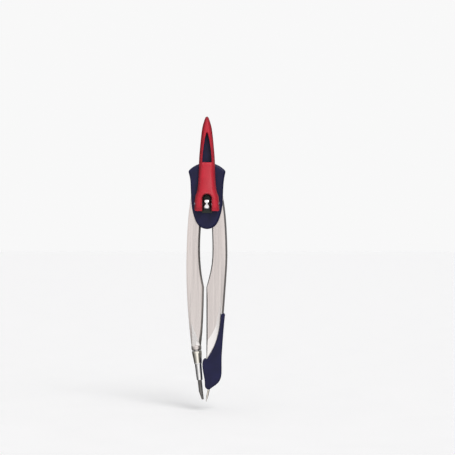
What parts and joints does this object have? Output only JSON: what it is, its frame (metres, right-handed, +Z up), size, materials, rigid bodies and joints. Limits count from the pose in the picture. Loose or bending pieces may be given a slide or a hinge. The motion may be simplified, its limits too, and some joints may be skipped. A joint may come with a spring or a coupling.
{
  "type": "drawing compass",
  "caption": "School drawing compass with two coupled metal legs, a lever that locks the head, a lead holder and a needle foot.",
  "frame": {"origin": "on the head's centre line, at the height of the needle's point, midway through the depth", "axes": "+Z up from the points towards the handle, +X to the right with the lead leg on -X and the needle leg on +X, front with the lever towards -Y"},
  "size_m": [0.0197, 0.0147, 0.1372],
  "materials": {
    "navy_plastic": "satin",
    "red_plastic": "gloss",
    "satin_metal": "satin",
    "chrome": "polished",
    "steel": "satin",
    "dark_steel": "satin",
    "black_nylon": "matte",
    "graphite": "satin"
  },
  "bodies": {
    "head": {"head_back_shell": "navy_plastic", "head_front_shell": "navy_plastic", "cam_plate": "dark_steel", "tie_bolt": "chrome", "tie_nut": "steel", "disc_spring": "steel", "left_pivot_pin": "steel", "right_pivot_pin": "steel", "left_front_washer": "black_nylon", "left_back_washer": "black_nylon", "right_front_washer": "black_nylon", "right_back_washer": "black_nylon", "left_shell_screw": "steel", "right_shell_screw": "steel"},
    "lever": {"lock_lever": "red_plastic", "lever_pin": "steel"},
    "lead_leg": {"lead_leg": "satin_metal", "leg_collar": "satin_metal", "lead_collet": "chrome"},
    "clamp_nut": {"lead_clamp_nut": "chrome", "clamp_ring": "chrome"},
    "lead": {"lead": "graphite"},
    "needle_leg": {"needle_leg": "satin_metal", "needle_shoe": "navy_plastic", "shoe_screw": "steel", "needle": "steel"}
  },
  "joints": [
    {"name": "lead_leg_hinge", "type": "hinge", "parent": "head", "child": "lead_leg", "pos_m": [-0.0044, 0.0033, 0.103], "axis": [0, 1, 0], "range_deg": [0, 60]},
    {"name": "needle_leg_hinge", "type": "hinge", "parent": "head", "child": "needle_leg", "pos_m": [0.0044, 0.0033, 0.103], "axis": [0, 1, 0], "range_deg": [-60, 0]},
    {"name": "lever_hinge", "type": "hinge", "parent": "head", "child": "lever", "pos_m": [0, -0.0043, 0.0953], "axis": [1, 0, 0], "range_deg": [0, 60]},
    {"name": "clamp_nut_turn", "type": "hinge", "parent": "lead_leg", "child": "clamp_nut", "pos_m": [-0.0052, 0.0033, 0.02715], "axis": [0.1011, 0, -0.9949], "range_deg": [0, 270]},
    {"name": "lead_slide", "type": "slide", "parent": "lead_leg", "child": "lead", "axis": [0.1011, 0, -0.9949], "range_m": [-0.006, 0.004]}
  ],
  "couplings": [
    {"joint": "needle_leg_hinge", "follows": "lead_leg_hinge", "ratio": -1}
  ]
}
